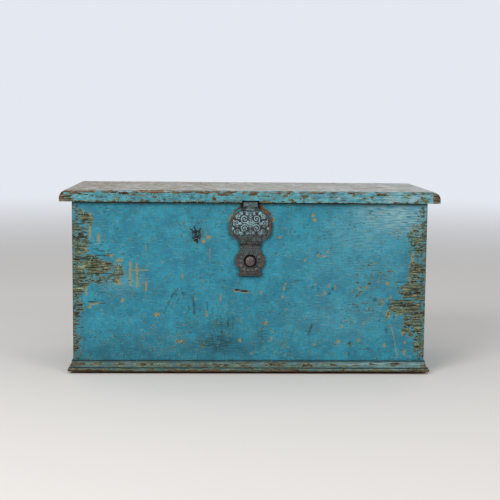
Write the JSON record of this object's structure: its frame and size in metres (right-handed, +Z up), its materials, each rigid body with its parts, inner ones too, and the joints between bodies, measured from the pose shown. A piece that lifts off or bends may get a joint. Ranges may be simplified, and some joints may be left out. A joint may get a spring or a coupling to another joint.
{
  "type": "coffer",
  "caption": "Long painted plank coffer with a hinged overhanging lid, finger-jointed corners, a stepped base moulding and a hinged iron hasp over a padlock post.",
  "frame": {"origin": "on the floor under the middle of the coffer's overall box", "axes": "+X to the right along the length, +Y from front to back, +Z up; the hasp side faces -Y"},
  "size_m": [0.98, 0.408, 0.479],
  "materials": {
    "painted_wood": "worn turquoise paint over brown boards, chipped at edges and corners",
    "bare_wood": "dry unpainted softwood, dusty",
    "hasp_iron": "forged iron with rust and remains of blue paint",
    "hinge_iron": "dark rusted iron",
    "nail_iron": "rusted hand-cut iron"
  },
  "bodies": {
    "carcass": {"front_board": "painted_wood", "back_board_lower": "painted_wood", "back_board_upper": "painted_wood", "left_end_board": "painted_wood", "right_end_board": "painted_wood", "base_moulding_front": "painted_wood", "base_moulding_left": "painted_wood", "base_moulding_right": "painted_wood", "bottom_board_front": "bare_wood", "bottom_board_middle": "bare_wood", "bottom_board_back": "bare_wood", "runner_left": "bare_wood", "runner_middle": "bare_wood", "runner_right": "bare_wood", "hinge_leaf_wall_left": "hinge_iron", "hinge_leaf_wall_right": "hinge_iron", "hinge_pin_left": "hinge_iron", "hinge_pin_right": "hinge_iron", "staple_rove": "hinge_iron", "staple_post": "hasp_iron", "corner_nails": "nail_iron", "bottom_nails": "nail_iron", "runner_nails": "nail_iron", "moulding_brads": "nail_iron", "hinge_nails_wall": "nail_iron"},
    "lid": {"lid_board_front": "painted_wood", "lid_board_back": "painted_wood", "lid_batten_left": "bare_wood", "lid_batten_right": "bare_wood", "hinge_leaf_lid_left": "hinge_iron", "hinge_leaf_lid_right": "hinge_iron", "batten_nails": "nail_iron", "hinge_nails_lid": "nail_iron", "hasp_strap": "hasp_iron", "strap_nails": "nail_iron", "hasp_pin_upper": "hinge_iron"},
    "hasp": {"hasp_plate": "hasp_iron", "hasp_pin_lower": "hinge_iron"},
    "tongue": {"hasp_tongue": "hasp_iron"}
  },
  "joints": [
    {"name": "lid_hinge", "type": "hinge", "parent": "carcass", "child": "lid", "pos_m": [0, 0.1787, 0.44875], "axis": [-1, 0, 0], "range_deg": [0, 100]},
    {"name": "hasp_hinge", "type": "hinge", "parent": "lid", "child": "hasp", "pos_m": [0, -0.189, 0.4304], "axis": [-1, 0, 0], "range_deg": [0, 130]},
    {"name": "tongue_hinge", "type": "hinge", "parent": "hasp", "child": "tongue", "pos_m": [0, -0.189, 0.3436], "axis": [-1, 0, 0], "range_deg": [0, 120]}
  ]
}
